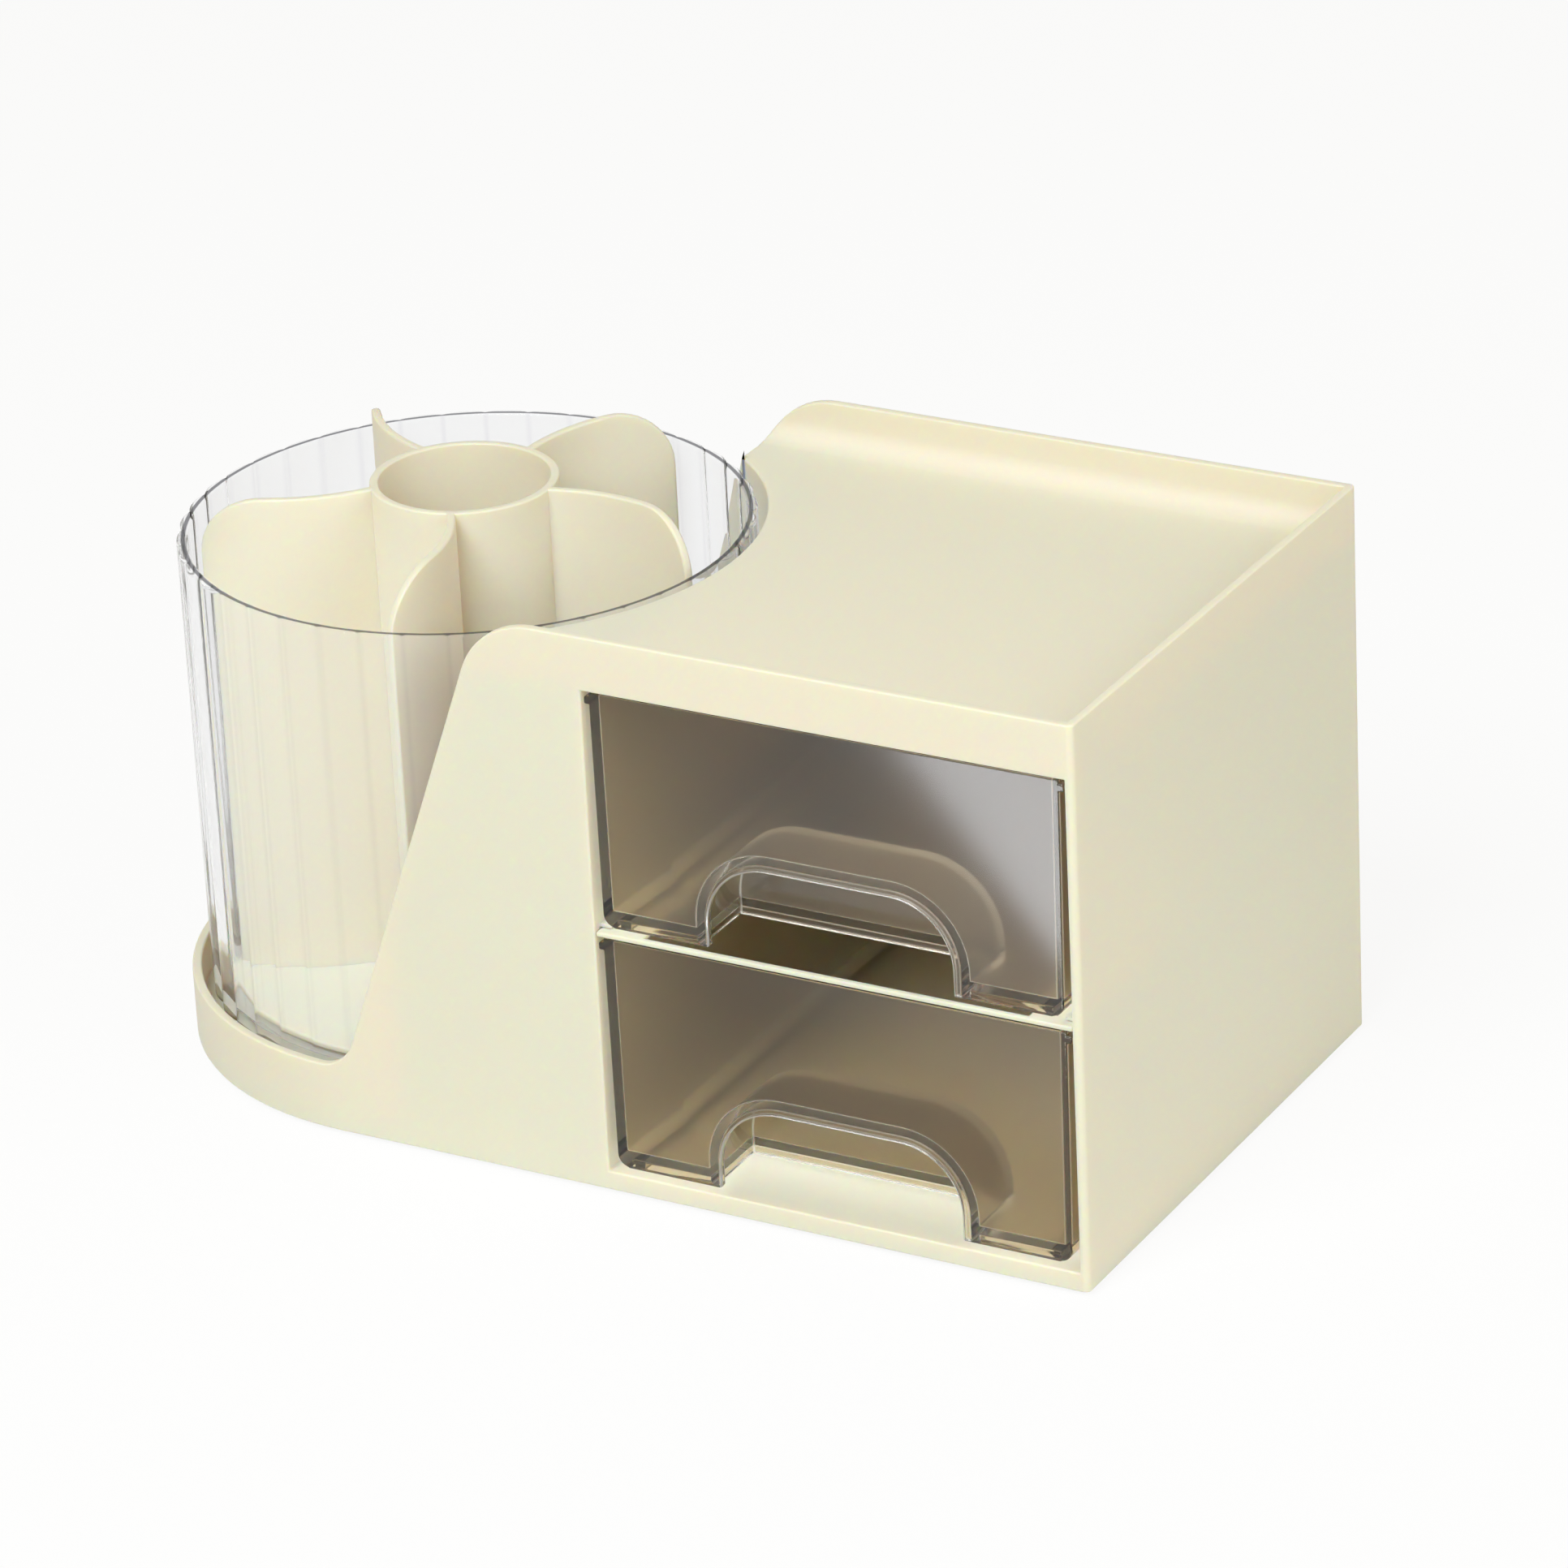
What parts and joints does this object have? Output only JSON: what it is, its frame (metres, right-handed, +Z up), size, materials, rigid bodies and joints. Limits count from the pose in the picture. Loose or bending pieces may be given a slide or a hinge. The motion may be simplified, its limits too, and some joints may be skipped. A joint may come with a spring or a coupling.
{
  "type": "rotating brush holder with drawers",
  "caption": "Cream desktop brush holder: a clear fluted cup with a curved-blade divider turns in a round tray beside a small cabinet with tinted pull-out drawers and a shallow top tray.",
  "frame": {"origin": "on the table, under the middle of the whole part's box", "axes": "+X from the cup towards the drawers, along the length; +Y from the drawer fronts towards the back; +Z up, along the cup's axis"},
  "size_m": [0.2574, 0.14, 0.134],
  "materials": {
    "cream_abs": "satin moulded",
    "clear_plastic": "clear polished",
    "smoke_plastic": "smoke-tinted, slightly hazy",
    "natural_nylon": "natural",
    "ball_steel": "polished",
    "screw_steel": "zinc plated",
    "foot_rubber": "matt"
  },
  "bodies": {
    "body": {"housing": "cream_abs", "base_plate": "cream_abs", "base_screws": "screw_steel", "rubber_feet": "foot_rubber", "divider_frame": "cream_abs", "hub_washer": "screw_steel", "hub_screw": "screw_steel"},
    "carousel": {"turntable": "cream_abs", "fluted_cup": "clear_plastic", "cup_screws": "screw_steel"},
    "bearing": {"ball_cage": "natural_nylon", "bearing_balls": "ball_steel"},
    "divider": {"brush_divider": "cream_abs"},
    "upper_drawer": {"upper_drawer": "smoke_plastic"},
    "lower_drawer": {"lower_drawer": "smoke_plastic"}
  },
  "joints": [
    {"name": "carousel_spin", "type": "hinge", "parent": "body", "child": "carousel", "pos_m": [-0.05875, 0, 0.01], "axis": [0, 0, 1], "continuous": true},
    {"name": "bearing_spin", "type": "hinge", "parent": "body", "child": "bearing", "pos_m": [-0.05875, 0, 0.009], "axis": [0, 0, 1], "continuous": true},
    {"name": "divider_lift", "type": "slide", "parent": "carousel", "child": "divider", "axis": [0, 0, 1], "range_m": [0, 0.108]},
    {"name": "upper_drawer_slide", "type": "slide", "parent": "body", "child": "upper_drawer", "axis": [0, -1, 0], "range_m": [0, 0.1]},
    {"name": "lower_drawer_slide", "type": "slide", "parent": "body", "child": "lower_drawer", "axis": [0, -1, 0], "range_m": [0, 0.1]}
  ],
  "couplings": [
    {"joint": "bearing_spin", "follows": "carousel_spin", "ratio": 0.5}
  ]
}
